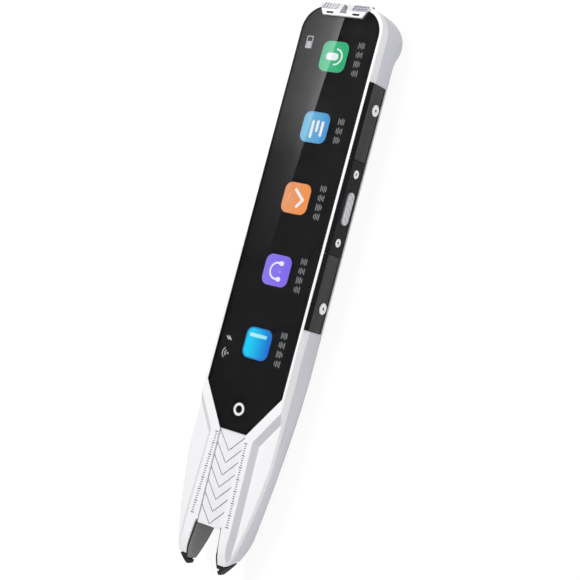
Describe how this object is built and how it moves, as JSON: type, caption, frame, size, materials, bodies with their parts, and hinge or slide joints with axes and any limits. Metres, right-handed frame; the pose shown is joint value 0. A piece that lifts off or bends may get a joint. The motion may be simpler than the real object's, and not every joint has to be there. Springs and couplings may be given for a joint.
{
  "type": "scanning pen",
  "caption": "Handheld scanning pen with a long touch screen, a forked nose with a sprung rubber foot, side rails, a push button, a microphone bar and a charging port.",
  "frame": {"origin": "on the flat outer face of the rear cover, the pen's rest plane, on its centre line and half way along the barrel", "axes": "+Y along the pen to the end with the microphone bar, -Y to the forked scanning nose, +Z out of the screen, +X to the side with the rails and the power button"},
  "size_m": [0.0325, 0.1749, 0.0132],
  "materials": {
    "white_case": "satin",
    "silver_case": "satin",
    "cover_glass": "polished",
    "black_screen": "polished",
    "steel_sheet": "brushed",
    "white_trim": "gloss",
    "grey_trim": "ribbed",
    "smoked_liner": "satin",
    "clear_window": "polished",
    "black_rubber": "matt",
    "black_rail": "satin",
    "button_metal": "satin",
    "screw_steel": "machined",
    "circuit_board": "solder mask",
    "chip_black": "moulded",
    "battery_pouch": "foil",
    "tape": "adhesive tape",
    "ribbon": "polyimide film",
    "copper_foil": "foil",
    "socket_steel": "plated",
    "foam": "foam",
    "optic": "polished",
    "lamp_white": "clear epoxy"
  },
  "bodies": {
    "case": {"front_frame": "white_case", "rear_shell": "silver_case", "rear_cover": "silver_case", "front_glass": "cover_glass", "display_panel": "black_screen", "display_tray": "steel_sheet", "mic_bar": "white_trim", "mic_pads": "grey_trim", "bar_wedge": "grey_trim", "microphones": "screw_steel", "chevron_panel": "white_case", "bay_liner": "smoked_liner", "scan_window": "clear_window", "fixed_foot": "black_rubber", "foot_peg": "screw_steel", "foot_switch": "chip_black", "foot_switch_board": "circuit_board", "side_rail_upper": "black_rail", "side_rail_lower": "black_rail", "key_panel": "black_rail", "power_switch": "chip_black", "slab_rings": "white_trim", "slab_screws": "screw_steel", "panel_rings": "white_trim", "panel_screws": "screw_steel", "main_board": "circuit_board", "board_screws": "screw_steel", "processor": "chip_black", "shield_can": "steel_sheet", "memory_chip": "chip_black", "ribbon_connectors": "chip_black", "display_ribbon": "ribbon", "camera_ribbon": "ribbon", "camera_board": "circuit_board", "image_sensor": "chip_black", "lens_holder": "chip_black", "camera_lens": "optic", "lamp_board": "circuit_board", "scan_lamps": "lamp_white", "battery_tape": "tape", "battery": "battery_pouch", "usb_shell": "socket_steel", "usb_tongue": "chip_black", "speaker_mesh": "steel_sheet", "speaker_gasket": "foam", "speaker": "chip_black", "antenna": "copper_foil", "case_screws": "screw_steel"},
    "power_button": {"power_button": "button_metal"},
    "scan_foot": {"scan_foot": "black_rubber", "foot_plunger": "screw_steel"}
  },
  "joints": [
    {"name": "power_button_press", "type": "slide", "parent": "case", "child": "power_button", "axis": [-1, 0, 0], "range_m": [0, 0.0004], "stiffness_N_per_m": 2000},
    {"name": "scan_foot_press", "type": "slide", "parent": "case", "child": "scan_foot", "axis": [0, 1, 0], "range_m": [0, 0.0005], "stiffness_N_per_m": 1000}
  ]
}
